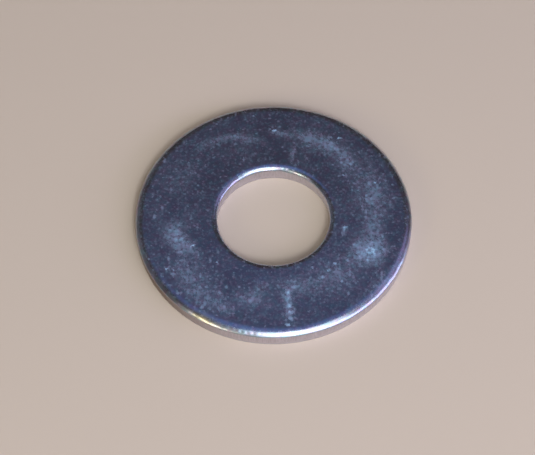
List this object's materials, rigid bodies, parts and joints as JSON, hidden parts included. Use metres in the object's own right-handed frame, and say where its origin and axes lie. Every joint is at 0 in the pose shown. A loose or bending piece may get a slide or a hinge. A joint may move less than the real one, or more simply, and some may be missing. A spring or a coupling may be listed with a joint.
{
  "type": "flat washer",
  "caption": "Flat round steel washer of the wide series, bright zinc plated, with a plain bolt hole and softly rounded stamped edges on its upper face.",
  "frame": {"origin": "on the axis of the hole, at the flat bearing face on the burr side", "axes": "+Z along the axis of the hole, towards the face with the rounded die-roll edges"},
  "size_m": [0.0348, 0.0348, 0.0023],
  "materials": {
    "zinc_plate": "bright electroplated zinc with a clear blue passivate over mild steel, semi-gloss, lightly hazed and scuffed"
  },
  "bodies": {
    "root": {"flat_washer": "zinc_plate"}
  },
  "joints": []
}
